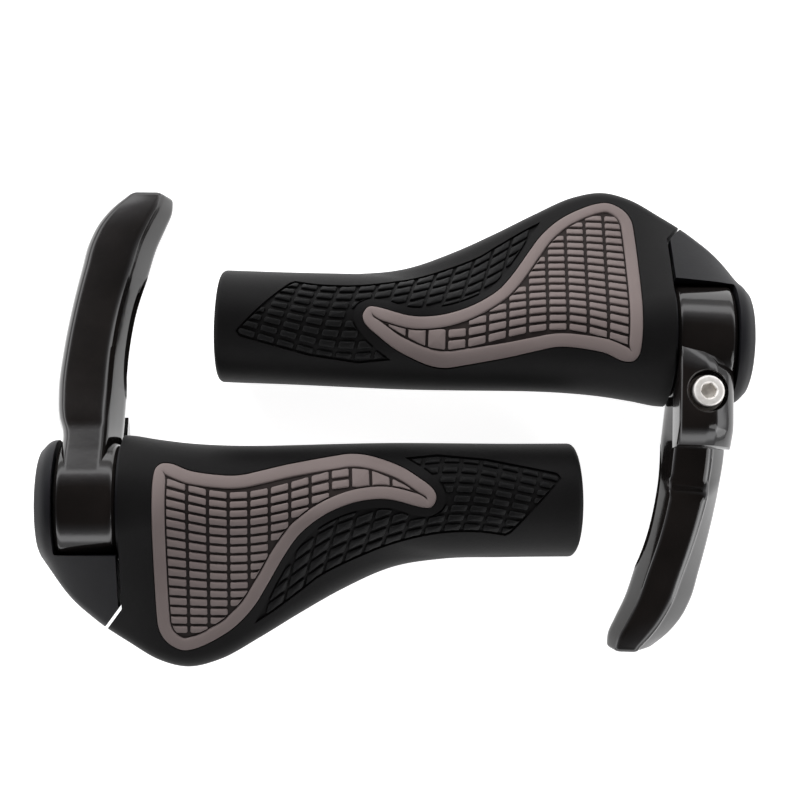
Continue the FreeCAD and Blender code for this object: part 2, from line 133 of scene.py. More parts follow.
def closed_curve(points, count):
    """Evenly spaced points on a smooth closed curve through the given ones."""
    ring = np.array(points, dtype=float)
    before, after, beyond = (np.roll(ring, shift, axis=0) for shift in (1, -1, -2))
    return even_spacing(spline(before, ring, after, beyond, 24), count, closed=True)


def open_curve(points, count):
    """Evenly spaced points on a smooth curve through the given ones."""
    path = np.array(points, dtype=float)
    padded = np.vstack([2 * path[0] - path[1], path, 2 * path[-1] - path[-2]])
    dense = spline(padded[:-3], padded[1:-2], padded[2:-1], padded[3:], 16)
    return even_spacing(np.vstack([dense, path[-1:]]), count, closed=False)


def even_spacing(points, count, closed):
    """Points at equal steps along a path of straight pieces."""
    path = np.vstack([points, points[:1]]) if closed else points
    length = np.concatenate([[0], np.cumsum(np.linalg.norm(np.diff(path, axis=0), axis=1))])
    at = np.linspace(0, length[-1], count, endpoint=not closed)
    return np.column_stack([np.interp(at, length, path[:, axis]) for axis in (0, 1)])


# ---------------------------------------------------------------- the grip's outer surface
def section(along):
    """Radius, spread, edge radius and tangent angle of the grip's section at one place."""
    radius = smooth(FORM_STATIONS, 1, along)
    edge = smooth(FORM_STATIONS, 3, along)
    spread = smooth(FORM_STATIONS, 2, along) - edge
    turn = np.arccos(np.clip((radius - edge) / spread, -1, 1))
    return radius, spread, edge, turn


def top_height(along, across):
    """How high the outer surface stands over the middle plane, seen from above."""
    radius, spread, edge, turn = section(along)
    touch_round = -radius * np.cos(turn)
    touch_edge = -spread - edge * np.cos(turn)
    on_round = np.sqrt(np.maximum(radius ** 2 - across ** 2, 0.01))
    on_edge = np.sqrt(np.maximum(edge ** 2 - (across + spread) ** 2, 0.01))
    share = (across - touch_edge) / (touch_round - touch_edge)
    on_line = edge * np.sin(turn) + share * (radius - edge) * np.sin(turn)
    return np.where(across > touch_round, on_round, np.where(across < touch_edge, on_edge, on_line))


def lift(points, height):
    """Places on the upper surface, moved outwards along its normal by height."""
    u, v = points[:, 0], points[:, 1]
    delta = 0.3
    w = top_height(u, v)
    slope_u = (top_height(u + delta, v) - top_height(u - delta, v)) / (2 * delta)
    slope_v = (top_height(u, v + delta) - top_height(u, v - delta)) / (2 * delta)
    normal = np.column_stack([-slope_u, -slope_v, np.ones_like(w)])
    normal /= np.linalg.norm(normal, axis=1)[:, None]
    return np.column_stack([u, v, w]) + normal * np.reshape(height, (-1, 1))


def section_ring(along, count):
    """Points round the grip's section at one place, starting at the front and going over the top."""
    radius, spread, edge, turn = section(along)
    # lengths of the four stretches of the half outline from the front to the wing's edge
    arc = radius * (math.pi - turn)
    straight = math.sqrt(max(spread ** 2 - (radius - edge) ** 2, 1e-6))
    tail = edge * turn
    total = arc + straight + tail
    half = count // 2
    places = np.linspace(0, total, half + 1)
    points = []
    for place in places:
        if place <= arc:
            angle = place / radius
            points.append((radius * math.cos(angle), radius * math.sin(angle)))
        elif place <= arc + straight:
            share = (place - arc) / straight
            angle = math.pi - turn
            start = np.array([radius * math.cos(angle), radius * math.sin(angle)])
            end = np.array([-spread + edge * math.cos(angle), edge * math.sin(angle)])
            points.append(tuple(start + share * (end - start)))
        else:
            angle = math.pi - turn + (place - arc - straight) / edge
            points.append((-spread + edge * math.cos(angle), edge * math.sin(angle)))
    mirror = [(v, -w) for v, w in points[-2:0:-1]]
    return np.array(points + mirror)


# ---------------------------------------------------------------- making mesh objects
SLAB_HALF = 35
CIRCLE_POINTS = 128


def new_object(name, vertices, faces, flip=1):
    """A mesh in a unit's own frame, in mm; flip -1 mirrors it through the middle plane."""
    points = np.array(vertices, dtype=float)
    points[:, 2] *= flip
    if flip < 0:
        faces = [tuple(reversed(face)) for face in faces]
    mesh = bpy.data.meshes.new(name)
    mesh.from_pydata([tuple(p) for p in points], [], faces)
    mesh.update()
    piece = bpy.data.objects.new(name, mesh)
    bpy.context.scene.collection.objects.link(piece)
    return piece


def ring_faces(rows, count):
    """Quads between rows of points; each row is a loop of count points."""
    faces = []
    for row in range(rows - 1):
        for index in range(count):
            following = (index + 1) % count
            a = row * count + index
            b = row * count + following
            faces.append((a, b, b + count, a + count))
    return faces


def tube_faces(rows, count):
    """As ring_faces, with the last row joined to the first."""
    faces = ring_faces(rows, count)
    last = (rows - 1) * count
    for index in range(count):
        following = (index + 1) % count
        faces.append((last + index, last + following, following, index))
    return faces


def settle(piece, side, angle, roll="grip_roll"):
    """Lays a finished piece down with its unit, with smooth shading but for edges over the angle."""
    piece.data.transform(unit_matrix(side, roll))
    for face in piece.data.polygons:
        face.use_smooth = True
    piece.data.set_sharp_from_angle(angle=math.radians(angle))


def cut(piece, tool, operation="DIFFERENCE"):
    """Cuts the tool out of the piece for good, and deletes the tool."""
    modifier = piece.modifiers.new("cut", "BOOLEAN")
    modifier.operation = operation
    modifier.solver = "EXACT"
    modifier.object = tool
    bake_modifiers(piece)
    mesh = tool.data
    bpy.data.objects.remove(tool)
    bpy.data.meshes.remove(mesh)


def bake_modifiers(piece):
    """Swaps the mesh for the one that its modifiers give."""
    graph = bpy.context.evaluated_depsgraph_get()
    shaped = bpy.data.meshes.new_from_object(piece.evaluated_get(graph), depsgraph=graph)
    old = piece.data
    piece.modifiers.clear()
    piece.data = shaped
    bpy.data.meshes.remove(old)


def clean_normals(piece):
    """Turns all faces outwards."""
    mesh = bmesh.new()
    mesh.from_mesh(piece.data)
    bmesh.ops.recalc_face_normals(mesh, faces=mesh.faces)
    mesh.to_mesh(piece.data)
    mesh.free()


def closed_loft(rows):
    """Vertices and faces for rows of equal loops, closed by a flat face at both ends."""
    count = len(rows[0])
    faces = ring_faces(len(rows), count)
    last = (len(rows) - 1) * count
    faces.append(tuple(range(count - 1, -1, -1)))
    faces.append(tuple(range(last, last + count)))
    return np.vstack(rows), faces


def lofted(name, rows, flip=1):
    """A closed piece through rows of equal loops."""
    vertices, faces = closed_loft(rows)
    piece = new_object(name, vertices, faces, flip)
    clean_normals(piece)
    return piece


def slab(name, outline):
    """A block with an outline seen from above, taller than the grip on both sides."""
    return lofted(name, [np.array([(u, v, w) for u, v in outline]) for w in (-SLAB_HALF, SLAB_HALF)])


def circle_row(along, radius, count):
    """A circle round the bar axis."""
    angles = np.arange(count) / count * 2 * math.pi
    return np.column_stack([np.full(count, along), radius * np.cos(angles), radius * np.sin(angles)])


# ---------------------------------------------------------------- outlines seen from above
INLAY_OUTLINE = [
    (32.7, 7.4), (34.0, 11.0), (37.4, 11.3), (42.9, 9.3), (50.6, 8.2), (55.9, 8.2), (61.3, 9.3),
    (69.5, 11.1), (81.2, 13.1), (86.5, 13.7), (92.0, 13.0), (99.4, 10.4), (104.7, 7.1),
    (108.0, 4.4), (109.0, 1.8), (107.6, -0.7), (104.6, -0.7), (97.0, 1.3), (91.6, 1.5),
    (85.3, 0.3), (78.5, -2.7), (72.2, -7.7), (67.8, -13.9), (63.5, -21.6), (59.6, -28.2),
    (54.8, -33.6), (49.5, -37.3), (44.0, -39.9), (39.7, -40.5), (35.8, -38.3), (33.6, -34.6),
    (33.0, -29.0), (32.6, -15.0), (32.5, -4.0),
]
FIELD_OUTLINE_UPPER = [
    (59.6, -33.4), (62.5, -28.0), (65.6, -21.6), (70.0, -13.9), (74.2, -8.5), (79.0, -4.8), (85.3, -2.0),
    (91.6, -0.9), (97.0, -1.0), (102.5, -2.7), (107.0, -3.2), (110.5, -1.2), (111.5, 2.0),
    (110.2, 5.4), (106.8, 8.8), (100.9, 12.6),
]
FIELD_OUTLINE_OUTER = [
    (100.9, 12.6), (109.9, 13.4), (123.5, 12.2), (135.9, 9.8), (142.8, 8.4), (143.9, 6.9),
    (129.8, -8.3), (128.4, -9.0),
]
FIELD_OUTLINE_LOWER = [
    (128.4, -9.0), (120.3, -7.9), (109.9, -8.2), (99.4, -10.5), (88.9, -14.5), (78.5, -19.6),
    (72.2, -24.4), (65.1, -29.8), (59.6, -33.4),
]


def field_loop():
    """The border of the black brick field, from its three stretches."""
    upper = open_curve(FIELD_OUTLINE_UPPER, 150)[:-1]
    outer = even_spacing(np.array(FIELD_OUTLINE_OUTER), 90, closed=False)[:-1]
    lower = open_curve(FIELD_OUTLINE_LOWER, 110)[:-1]
    return np.vstack([upper, outer, lower])


def signed_distance(points, loop):
    """Distance of each point from the closed loop, positive inside, and the nearest place on it."""
    start, end = loop, np.roll(loop, -1, axis=0)
    span = end - start
    gap = points[:, None, :] - start[None, :, :]
    share = np.clip((gap * span).sum(2) / (span ** 2).sum(1), 0, 1)
    near = start[None] + share[..., None] * span[None]
    distance = np.linalg.norm(points[:, None, :] - near, axis=2)
    best = distance.argmin(axis=1)
    pick = np.arange(len(points))
    crossing = (start[None, :, 1] > points[:, None, 1]) != (end[None, :, 1] > points[:, None, 1])
    with np.errstate(divide="ignore", invalid="ignore"):
        meet = start[None, :, 0] + (points[:, None, 1] - start[None, :, 1]) * (span[:, 0] / span[:, 1])[None]
    inside = (crossing & (points[:, None, 0] < meet)).sum(1) % 2 == 1
    return np.where(inside, 1, -1) * distance[pick, best], near[pick, best]


def inward_normals(loop):
    """Unit normals of a closed loop that point to its inside."""
    along = np.roll(loop, -1, axis=0) - np.roll(loop, 1, axis=0)
    along /= np.linalg.norm(along, axis=1)[:, None]
    area = (loop[:, 0] * np.roll(loop[:, 1], -1) - np.roll(loop[:, 0], -1) * loop[:, 1]).sum()
    side = np.column_stack([-along[:, 1], along[:, 0]])
    return side if area > 0 else -side


def inset(loop, width):
    """The loop moved inwards, stopping at the middle line where the shape is narrow."""
    normal = inward_normals(loop)
    reach = np.full(len(loop), width)
    for _ in range(3):
        for _ in range(14):
            room = signed_distance(loop + normal * reach[:, None], loop)[0]
            reach = np.where(room < reach - 0.06, reach - 0.25, reach)
        reach = np.maximum(reach, 0.3)
    soft = reach.copy()
    for _ in range(6):
        soft = np.minimum(reach, (np.roll(soft, 1) + soft + np.roll(soft, -1)) / 3)
    return loop + normal * soft[:, None]


# ---------------------------------------------------------------- plates that follow the surface
PLATE_GRID = 2.0


def plate(loop, low, high):
    """A closed plate under an outline, between two heights over the surface."""
    mesh = bmesh.new()
    corners = [mesh.verts.new((u, v, 0)) for u, v in loop]
    mesh.faces.new(corners)
    for axis in (0, 1):
        first, last = loop[:, axis].min(), loop[:, axis].max()
        for place in np.arange(first + PLATE_GRID / 2, last, PLATE_GRID):
            normal = (1, 0, 0) if axis == 0 else (0, 1, 0)
            origin = (place, 0, 0) if axis == 0 else (0, place, 0)
            everything = mesh.verts[:] + mesh.edges[:] + mesh.faces[:]
            bmesh.ops.bisect_plane(mesh, geom=everything, plane_co=origin, plane_no=normal)
    bmesh.ops.triangulate(mesh, faces=[face for face in mesh.faces if len(face.verts) > 4])
    mesh.verts.ensure_lookup_table()
    mesh.normal_update()
    flat = np.array([vert.co[:2] for vert in mesh.verts])
    faces = []
    for face in mesh.faces:
        turn = [vert.index for vert in face.verts]
        faces.append(turn if face.normal.z > 0 else turn[::-1])
    border = []
    for edge in mesh.edges:
        if edge.is_boundary:
            border.append((edge.verts[0].index, edge.verts[1].index))
    mesh.free()
    used = set()
    for face in faces:
        for index, one in enumerate(face):
            used.add((one, face[(index + 1) % len(face)]))
    count = len(flat)
    vertices = np.vstack([lift(flat, high), lift(flat, low)])
    sides = []
    for one, other in border:
        if (one, other) not in used:
            one, other = other, one
        sides.append((one, one + count, other + count, other))
    bottom = [tuple(index + count for index in reversed(face)) for face in faces]
    return vertices, [tuple(face) for face in faces] + bottom + sides


def joined(parts):
    """One list of vertices and faces out of several."""
    vertices, faces, start = [], [], 0
    for points, polygons in parts:
        vertices.append(np.array(points))
        faces += [tuple(index + start for index in polygon) for polygon in polygons]
        start += len(points)
    return np.vstack(vertices), faces


def band(outer, inner, low, high, crown):
    """A raised band between two loops, with rounded shoulders and a slightly crowned top."""
    profile = [
        (0.0, low), (0.0, high - 0.35), (0.03, high - 0.15), (0.1, high - 0.02), (0.25, high + crown * 0.7),
        (0.5, high + crown), (0.75, high + crown * 0.7), (0.9, high - 0.02), (0.97, high - 0.15),
        (1.0, high - 0.35), (1.0, low),
    ]
    rows = []
    for share, height in profile:
        rows.append(lift(outer + (inner - outer) * share, height))
    return np.vstack(rows), tube_faces(len(rows), len(outer))


BRICK_STEPS = 5
BRICK_CORNER = 0.45
BRICK_RIM = 0.36
SMALLEST_BRICK = 1.6


def brick_outline(corners, loop, margin, groove):
    """A four-cornered brick with rounded corners, kept inside the loop by a margin."""
    corners = np.array(corners)
    middle = corners.mean(axis=0)
    shrunk = []
    for index in range(4):
        here = corners[index]
        toward = [corners[(index + 1) % 4] - here, corners[index - 1] - here]
        units = [t / max(np.linalg.norm(t), 1e-6) for t in toward]
        shrunk.append(here + (units[0] + units[1]) * groove / 2)
    points = []
    for index in range(4):
        here = shrunk[index]
        to_next = shrunk[(index + 1) % 4] - here
        to_before = shrunk[index - 1] - here
        start = here + to_before / np.linalg.norm(to_before) * BRICK_CORNER
        end = here + to_next / np.linalg.norm(to_next) * BRICK_CORNER
        for share in (0.0, 0.33, 0.67, 1.0):
            curve = (1 - share) ** 2 * start + 2 * share * (1 - share) * here + share ** 2 * end
            points.append(curve)
        following = shrunk[(index + 1) % 4]
        far = following - to_next / np.linalg.norm(to_next) * BRICK_CORNER
        for step in range(1, BRICK_STEPS):
            points.append(end + (far - end) * step / BRICK_STEPS)
    points = np.array(points)
    distance, near = signed_distance(points, loop)
    if (distance > margin).sum() < 5:
        return None
    centre_distance = signed_distance(middle[None], loop)[0][0]
    for _ in range(2):
        outside = distance < margin
        away = points - near
        away /= np.maximum(np.linalg.norm(away, axis=1), 1e-6)[:, None]
        away *= np.where(distance < 0, -1, 1)[:, None]
        points = np.where(outside[:, None], near + away * margin, points)
        distance, near = signed_distance(points, loop)
    doubled = (points[:, 0] * np.roll(points[:, 1], -1) - np.roll(points[:, 0], -1) * points[:, 1]).sum()
    if 0.5 * abs(doubled) < SMALLEST_BRICK or centre_distance < -2.5:
        return None
    return points


def brick(outline, low, high):
    """A raised brick with a rounded rim on the given outline."""
    middle = outline.mean(axis=0)
    away = outline - middle
    size = np.linalg.norm(away, axis=1)[:, None]
    rows = [lift(outline, low), lift(outline, high - BRICK_RIM)]
    for inwards, drop in ((0.1, 0.14), (BRICK_RIM, 0.0)):
        rows.append(lift(middle + away * np.maximum(1 - inwards / size, 0.3), high - drop))
    count = len(outline)
    rows.append(lift(middle[None], high))
    vertices = np.vstack(rows)
    faces = ring_faces(4, count)
    centre = len(vertices) - 1
    for index in range(count):
        following = (index + 1) % count
        faces.append((3 * count + index, 3 * count + following, centre))
    faces.append(tuple(range(count - 1, -1, -1)))
    return vertices, faces


# ---------------------------------------------------------------- rubber grip
GRIP_START, GRIP_END = 23.6, 150.0
CORE_RADIUS = 12.9
END_ROUNDING = 1.6
SPARE_LENGTH = 7.0
INLAY_POCKET, INLAY_CLEARANCE = 1.25, 0.18
FIELD_DEPTH = 0.75
RING_POINTS = 176


def grip_body(side):
    """The rubber: outer surface, rounded inboard end and the bore for the core."""
    rows = []
    places = np.concatenate([
        np.linspace(GRIP_START - SPARE_LENGTH, 62, 66), np.linspace(62, GRIP_END - END_ROUNDING, 70)[1:],
    ])
    for place in places:
        ring = section_ring(place, RING_POINTS)
        rows.append(np.column_stack([np.full(RING_POINTS, place), ring]))
    last = section_ring(GRIP_END, RING_POINTS)
    for step in range(1, 6):
        angle = step / 5 * math.pi / 2
        shrink = 1 - END_ROUNDING * (1 - math.cos(angle)) / 16.0
        place = GRIP_END - END_ROUNDING + END_ROUNDING * math.sin(angle)
        rows.append(np.column_stack([np.full(RING_POINTS, place), last * shrink]))
    rows.append(circle_row(GRIP_END, CORE_RADIUS, RING_POINTS))
    rows.append(circle_row(places[0], CORE_RADIUS, RING_POINTS))
    piece = new_object(f"{side}_rubber", np.vstack(rows), tube_faces(len(rows), RING_POINTS))
    clean_normals(piece)
    return piece


# The seam bends at the knee, and beyond it runs outboard and towards the wing's edge in this proportion.
SEAM_KNEE = -28.6
SEAM_SLOPE = (7.0, 9.6)


def seam_block(name, seam, far_side, reach):
    """The space on one side of a seam that bends at its knee, to be cut off."""
    tip = (seam - SEAM_SLOPE[0] * reach, SEAM_KNEE - SEAM_SLOPE[1] * reach)
    return slab(name, [(far_side, 35), (seam, 35), (seam, SEAM_KNEE), tip, (far_side, tip[1])])


def grow(loop, width):
    """The loop moved outwards."""
    return loop - inward_normals(loop) * width


def make_rubber(side):
    """The grip with its seam, the pockets for the inlays and the sunk brick fields."""
    piece = grip_body(side)
    cut(piece, seam_block(f"{side}_seam_tool", GRIP_START, -9, 1.5))
    pocket_loop = grow(closed_curve(INLAY_OUTLINE, 240), INLAY_CLEARANCE)
    for flip in (1, -1):
        for word, loop, depth in (("inlay", pocket_loop, INLAY_POCKET), ("field", field_loop(), FIELD_DEPTH)):
            vertices, faces = plate(loop, -depth, 2.0)
            tool = new_object(f"{side}_{word}_tool", vertices, faces, flip)
            clean_normals(tool)
            cut(piece, tool)
    settle(piece, side, 30)
    return piece


# ---------------------------------------------------------------- gray inlays
BAND_WIDTH = 3.4
INLAY_FLOOR = -0.55
INLAY_TOP, INLAY_CROWN = 0.12, 0.12
INLAY_MARGIN, INLAY_GROOVE = 0.42, 0.85
ROW_PITCH, COLUMN_PITCH = 2.6, 5.5
COLUMN_START = 36.2
INLAY_ROWS, INLAY_COLUMNS = 19, 13
# The rows run level from this one on; the first two are one from the long-brick column on.
FLAT_ROWS = 17
LONG_BRICK_COLUMN = 9
ROW_LEVEL = 5.6
INLAY_ROW_CURVE = [
    (30.0, 8.6), (36.3, 7.9), (45.1, 5.2), (53.8, 3.9), (64.0, 5.2), (75.0, 8.2), (86.0, 10.3),
    (92.2, 9.6), (99.0, 6.4), (110.0, 1.0),
]


def inlay_row(number, along):
    """Where a groove between two rows runs: curved like the front border, flatter row by row."""
    bend = smooth(INLAY_ROW_CURVE, 1, along) - ROW_LEVEL
    share = max(0.0, 1 - number / FLAT_ROWS)
    return ROW_LEVEL - number * ROW_PITCH + bend * share


def inlay_bricks(loop):
    """The raised bricks inside the inlay's border."""
    parts = []
    for row in range(INLAY_ROWS):
        for column in range(INLAY_COLUMNS):
            left = COLUMN_START + column * COLUMN_PITCH
            right = left + COLUMN_PITCH
            if column == 0:
                left -= 0.4
            top = row - 0.02
            merged = column >= LONG_BRICK_COLUMN and row == 0
            low = row + (2 if merged else 1)
            if column >= LONG_BRICK_COLUMN and row == 1:
                continue
            corners = [
                (left, inlay_row(low, left)), (right, inlay_row(low, right)),
                (right, inlay_row(top, right)), (left, inlay_row(top, left)),
            ]
            outline = brick_outline(corners, loop, INLAY_MARGIN, INLAY_GROOVE)
            if outline is not None:
                parts.append(brick(outline, INLAY_FLOOR - 0.05, INLAY_TOP - 0.02))
    return parts


def make_inlay(side, word, flip):
    """Floor, crowned border and bricks of one inlay."""
    outer = closed_curve(INLAY_OUTLINE, 420)
    inner = inset(outer, BAND_WIDTH)
    floor = plate(grow(outer, -0.1)[::2], -1.2, INLAY_FLOOR)
    border = band(outer, inner, -1.15, INLAY_TOP, INLAY_CROWN)
    parts = [floor, border] + inlay_bricks(inner)
    vertices, faces = joined(parts)
    piece = new_object(f"{side}_{word}_gray_inlay", vertices, faces, flip)
    piece.data.materials.append(GRAY_RUBBER)
    piece.data.materials.append(GROOVE_SHADE_RUBBER)
    # The floor between the bricks gets the groove material, coloured darker as painted shade in the grooves.
    for face in piece.data.polygons[:len(floor[1])]:
        face.material_index = 1
    settle(piece, side, 50)
    return piece


# ---------------------------------------------------------------- black brick field
FIELD_ROWS, FIELD_COLUMNS = 8, 18
FIELD_COLUMN_START, FIELD_COLUMN_PITCH = 57.0, 5.35
FIELD_LEAN = 0.32 * 2.6
FIELD_MARGIN, FIELD_GROOVE = 0.55, 1.0
FIELD_LOWER = [
    (55.0, -37.0), (59.6, -33.4), (65.1, -29.8), (72.2, -24.4), (78.5, -19.6), (88.9, -14.5),
    (99.4, -10.5), (109.9, -8.2), (120.3, -7.9), (128.4, -9.0), (145.0, -12.0),
]
FIELD_PITCH = [(55.0, 3.4), (72.0, 3.3), (90.0, 2.95), (110.0, 2.75), (125.0, 2.6), (145.0, 2.45)]


def field_row(number, along):
    """Rows run along the lower border of the field and draw together towards its inboard end."""
    return smooth(FIELD_LOWER, 1, along) + number * smooth(FIELD_PITCH, 1, along)


def field_bricks(loop):
    """Leaning bricks in the black field."""
    parts = []
    for row in range(FIELD_ROWS):
        for column in range(FIELD_COLUMNS):
            shift = FIELD_COLUMN_START + column * FIELD_COLUMN_PITCH + row * FIELD_LEAN
            corners = []
            for right, lower in ((0, 0), (1, 0), (1, 1), (0, 1)):
                number = row + lower
                along = shift + right * FIELD_COLUMN_PITCH + lower * FIELD_LEAN
                corners.append((along, float(field_row(number, along))))
            outline = brick_outline(corners, loop, FIELD_MARGIN, FIELD_GROOVE)
            if outline is not None:
                parts.append(brick(outline, -FIELD_DEPTH - 0.1, -0.02))
    return parts


def make_field(side, word, flip):
    """All bricks of one field, as one piece."""
    vertices, faces = joined(field_bricks(field_loop()))
    piece = new_object(f"{side}_{word}_brick_field", vertices, faces, flip)
    settle(piece, side, 50)
    return piece


# ---------------------------------------------------------------- bar end
RING_START, RING_END = 6.3, 22.6
RING_RADIUS, RING_BORE = 16.5, 12.65
RING_MIDDLE = 14.45
RING_EDGE_WIDE, RING_EDGE_TALL = 2.0, 1.3
BOLT_TILT = math.radians(16.0)
BOLT_OFFSET = 16.2
SLIT_DEPTH, SLIT_WIDTH = -5.8, 1.4
TONGUE_FOOT = -6.4
SEAT_DEPTH = -11.7
COUNTERBORE = 5.7
THREAD_RADIUS, CLEARANCE_RADIUS, HEAD_RADIUS, SOCKET_RADIUS = 2.55, 2.75, 4.25, 2.31
WASHER_THICKNESS, HEAD_HEIGHT = 1.0, 5.0
TONGUE_HALF = 7.9
HORN_ROOT, HORN_END = 4.8, 89.4
SCOOP_START, SCOOP_END, SCOOP_DEPTH = 25.0, 39.5, 2.6
TIP_REACH, TIP_ROUNDING, TIP_LEAN, TIP_STEPS = 1.4, 1.7, 1.5, 6
POCKET_MIDDLE, POCKET_HALF, POCKET_DEPTH, POCKET_LEVEL = 48.0, 3.3, 2.6, -0.6


def tilted(along, depth):
    """A place across the bar from the bolt's tilted frame: along the slit, then depth."""
    across = along * math.cos(BOLT_TILT) + depth * math.sin(BOLT_TILT)
    height = -along * math.sin(BOLT_TILT) + depth * math.cos(BOLT_TILT)
    return across, height


def rounded(corners, radius, steps=5):
    """A polygon with every corner rounded by a quadratic arc of the same number of points."""
    corners = np.array(corners, dtype=float)
    radii = radius if isinstance(radius, (list, tuple)) else [radius] * len(corners)
    points = []
    for index, corner in enumerate(corners):
        before = corners[index - 1] - corner
        after = corners[(index + 1) % len(corners)] - corner
        length = min(np.linalg.norm(before), np.linalg.norm(after)) * 0.48
        size = min(radii[index], length)
        start = corner + before / np.linalg.norm(before) * size
        end = corner + after / np.linalg.norm(after) * size
        for t in np.linspace(0, 1, steps):
            points.append((1 - t) ** 2 * start + 2 * t * (1 - t) * corner + t * t * end)
    return np.array(points)


def turned(name, profile):
    """A ring turned about the bar axis from a closed profile of (along, radius)."""
    rows = [circle_row(along, radius, CIRCLE_POINTS) for along, radius in profile]
    piece = new_object(name, np.vstack(rows), tube_faces(len(rows), CIRCLE_POINTS))
    clean_normals(piece)
    return piece


def eased(share):
    """From 0 to 1 with a soft start and end."""
    return share * share * (3 - 2 * share)


def horn_section(away):
    """Flat top and bottom, sloping shoulders and a narrow flank, softly creased."""
    middle = float(smooth(HORN_STATIONS, 1, away))
    width = float(smooth(HORN_STATIONS, 2, away)) - 0.06
    depth = float(smooth(HORN_STATIONS, 3, away))
    if away < 20:
        depth = max(depth, 15.75 - 0.303 * (away - HORN_ROOT))
    corners = []
    lean = 0.22 * min(max((away - 40) / 40, 0.0), 1.0)
    for across, up in (
        (0.45, 1.0), (0.64, 0.88), (1.0, 0.0), (0.98, -0.30), (0.76, -0.90), (0.62, -1.0),
        (-0.34 + lean, -1.0), (-0.52 + lean, -0.90), (-1.0, -0.10), (-1.0, 0.36), (-0.86, 0.86), (-0.69, 1.0),
    ):
        corners.append((middle + across * width, up * depth))
    radii = [0.8, 0.8, 2.0, 2.0, 0.8, 0.8, 0.8, 0.8, 2.0, 1.6, 0.8, 0.8]
    loop = rounded(corners, radii, 4)
    crown = 1 - ((loop[:, 0] - middle) / width) ** 2
    swell = 0.5 * min(max((away - 12) / 20, 0.0), 1.0)
    loop[:, 1] += np.sign(loop[:, 1]) * swell * crown * (np.abs(loop[:, 1]) > 0.9 * depth)
    # the scoop in the face beside the tongue's tip
    fall = np.clip((away + 3.5 * (1 - crown) - SCOOP_END) / 4.5, 0, 1)
    start = min(max((away - SCOOP_START) / 3.0, 0.0), 1.0)
    share = np.clip(-loop[:, 1] / depth - 0.25, 0, 0.7) / 0.7
    loop[:, 1] += SCOOP_DEPTH * start * (1 - eased(fall)) * eased(share)
    return loop, np.array([middle, 0.0])


def horn_blank(side, flip):
    """The horn from inside the ring to its rounded tip."""
    rows = []
    for away in np.concatenate([np.linspace(HORN_ROOT, 84.0, 90), np.linspace(85.0, HORN_END, 6)]):
        loop, _ = horn_section(away)
        rows.append(np.column_stack([loop[:, 0], np.full(len(loop), away), loop[:, 1]]))
    loop, middle = horn_section(HORN_END)
    spoke = loop - middle
    size = np.linalg.norm(spoke, axis=1)[:, None]
    outboard = np.clip(-spoke[:, 0] / size.max(), 0, 1)
    for step in range(1, TIP_STEPS + 1):
        angle = step / TIP_STEPS * math.pi / 2
        shrunk = middle + spoke * (1 - TIP_ROUNDING * (1 - math.cos(angle)) / size)
        shrunk[:, 0] += TIP_LEAN * math.sin(angle) * outboard
        away = HORN_END + TIP_REACH * math.sin(angle)
        rows.append(np.column_stack([shrunk[:, 0], np.full(len(loop), away), shrunk[:, 1]]))
    return lofted(f"{side}_bar_end_casting", rows, flip)


def tongue_blank(side, flip):
    """The clamp's tongue: a flat face with a stepped slope towards the cap and a bevelled tip."""
    outer, inner = RING_MIDDLE - TONGUE_HALF, RING_MIDDLE + TONGUE_HALF
    rows = []
    for along, depth in (
        (3.0, 13.0), (6.0, 15.9), (9.0, 17.4), (11.5, 17.95), (24.4, 18.0), (26.0, 17.6), (27.4, 16.8),
        (29.6, 15.0), (30.7, 13.8), (31.1, 12.4),
    ):
        corners = [
            (outer, TONGUE_FOOT), (outer, -(depth - 5.4)), (outer + 1.8, -(depth - 2.8)),
            (RING_MIDDLE - 2.2, -(depth - 0.5)), (RING_MIDDLE + 0.3, -depth), (inner - 0.7, -depth),
            (inner, -(depth - 0.8)), (inner, TONGUE_FOOT),
        ]
        loop = rounded(corners, [0.3, 1.2, 1.4, 0.5, 0.5, 0.5, 0.5, 0.3], 4)
        points = []
        slant = -0.42 * max(0.0, 1 - (along - 3) / 9)
        for u, level in loop:
            across, height = tilted(along + slant * (u - RING_MIDDLE), level)
            points.append((u, across, height))
        rows.append(np.array(points))
    return lofted(f"{side}_tongue_tool", rows, flip)


def tilted_block(name, flip, corners, half):
    """A block along the bar with an outline in the bolt's tilted frame."""
    outline = [tilted(along, depth) for along, depth in corners]
    ends = (RING_MIDDLE - half, RING_MIDDLE + half)
    return lofted(name, [np.array([(u, v, w) for v, w in outline]) for u in ends], flip)


def bolt_ring(radius, depth, count, first=0.0):
    """Points round the bolt's axis, from the first angle on."""
    ring = []
    for index in range(count):
        angle = first + index / count * 2 * math.pi
        across, height = tilted(BOLT_OFFSET + radius * math.sin(angle), depth)
        ring.append((RING_MIDDLE + radius * math.cos(angle), across, height))
    return np.array(ring)


def bolt_shape(name, flip, profile, count=64):
    """A shape turned about the bolt's axis, from (radius, depth) pairs, first to last."""
    return lofted(name, [bolt_ring(radius, depth, count) for radius, depth in profile], flip)


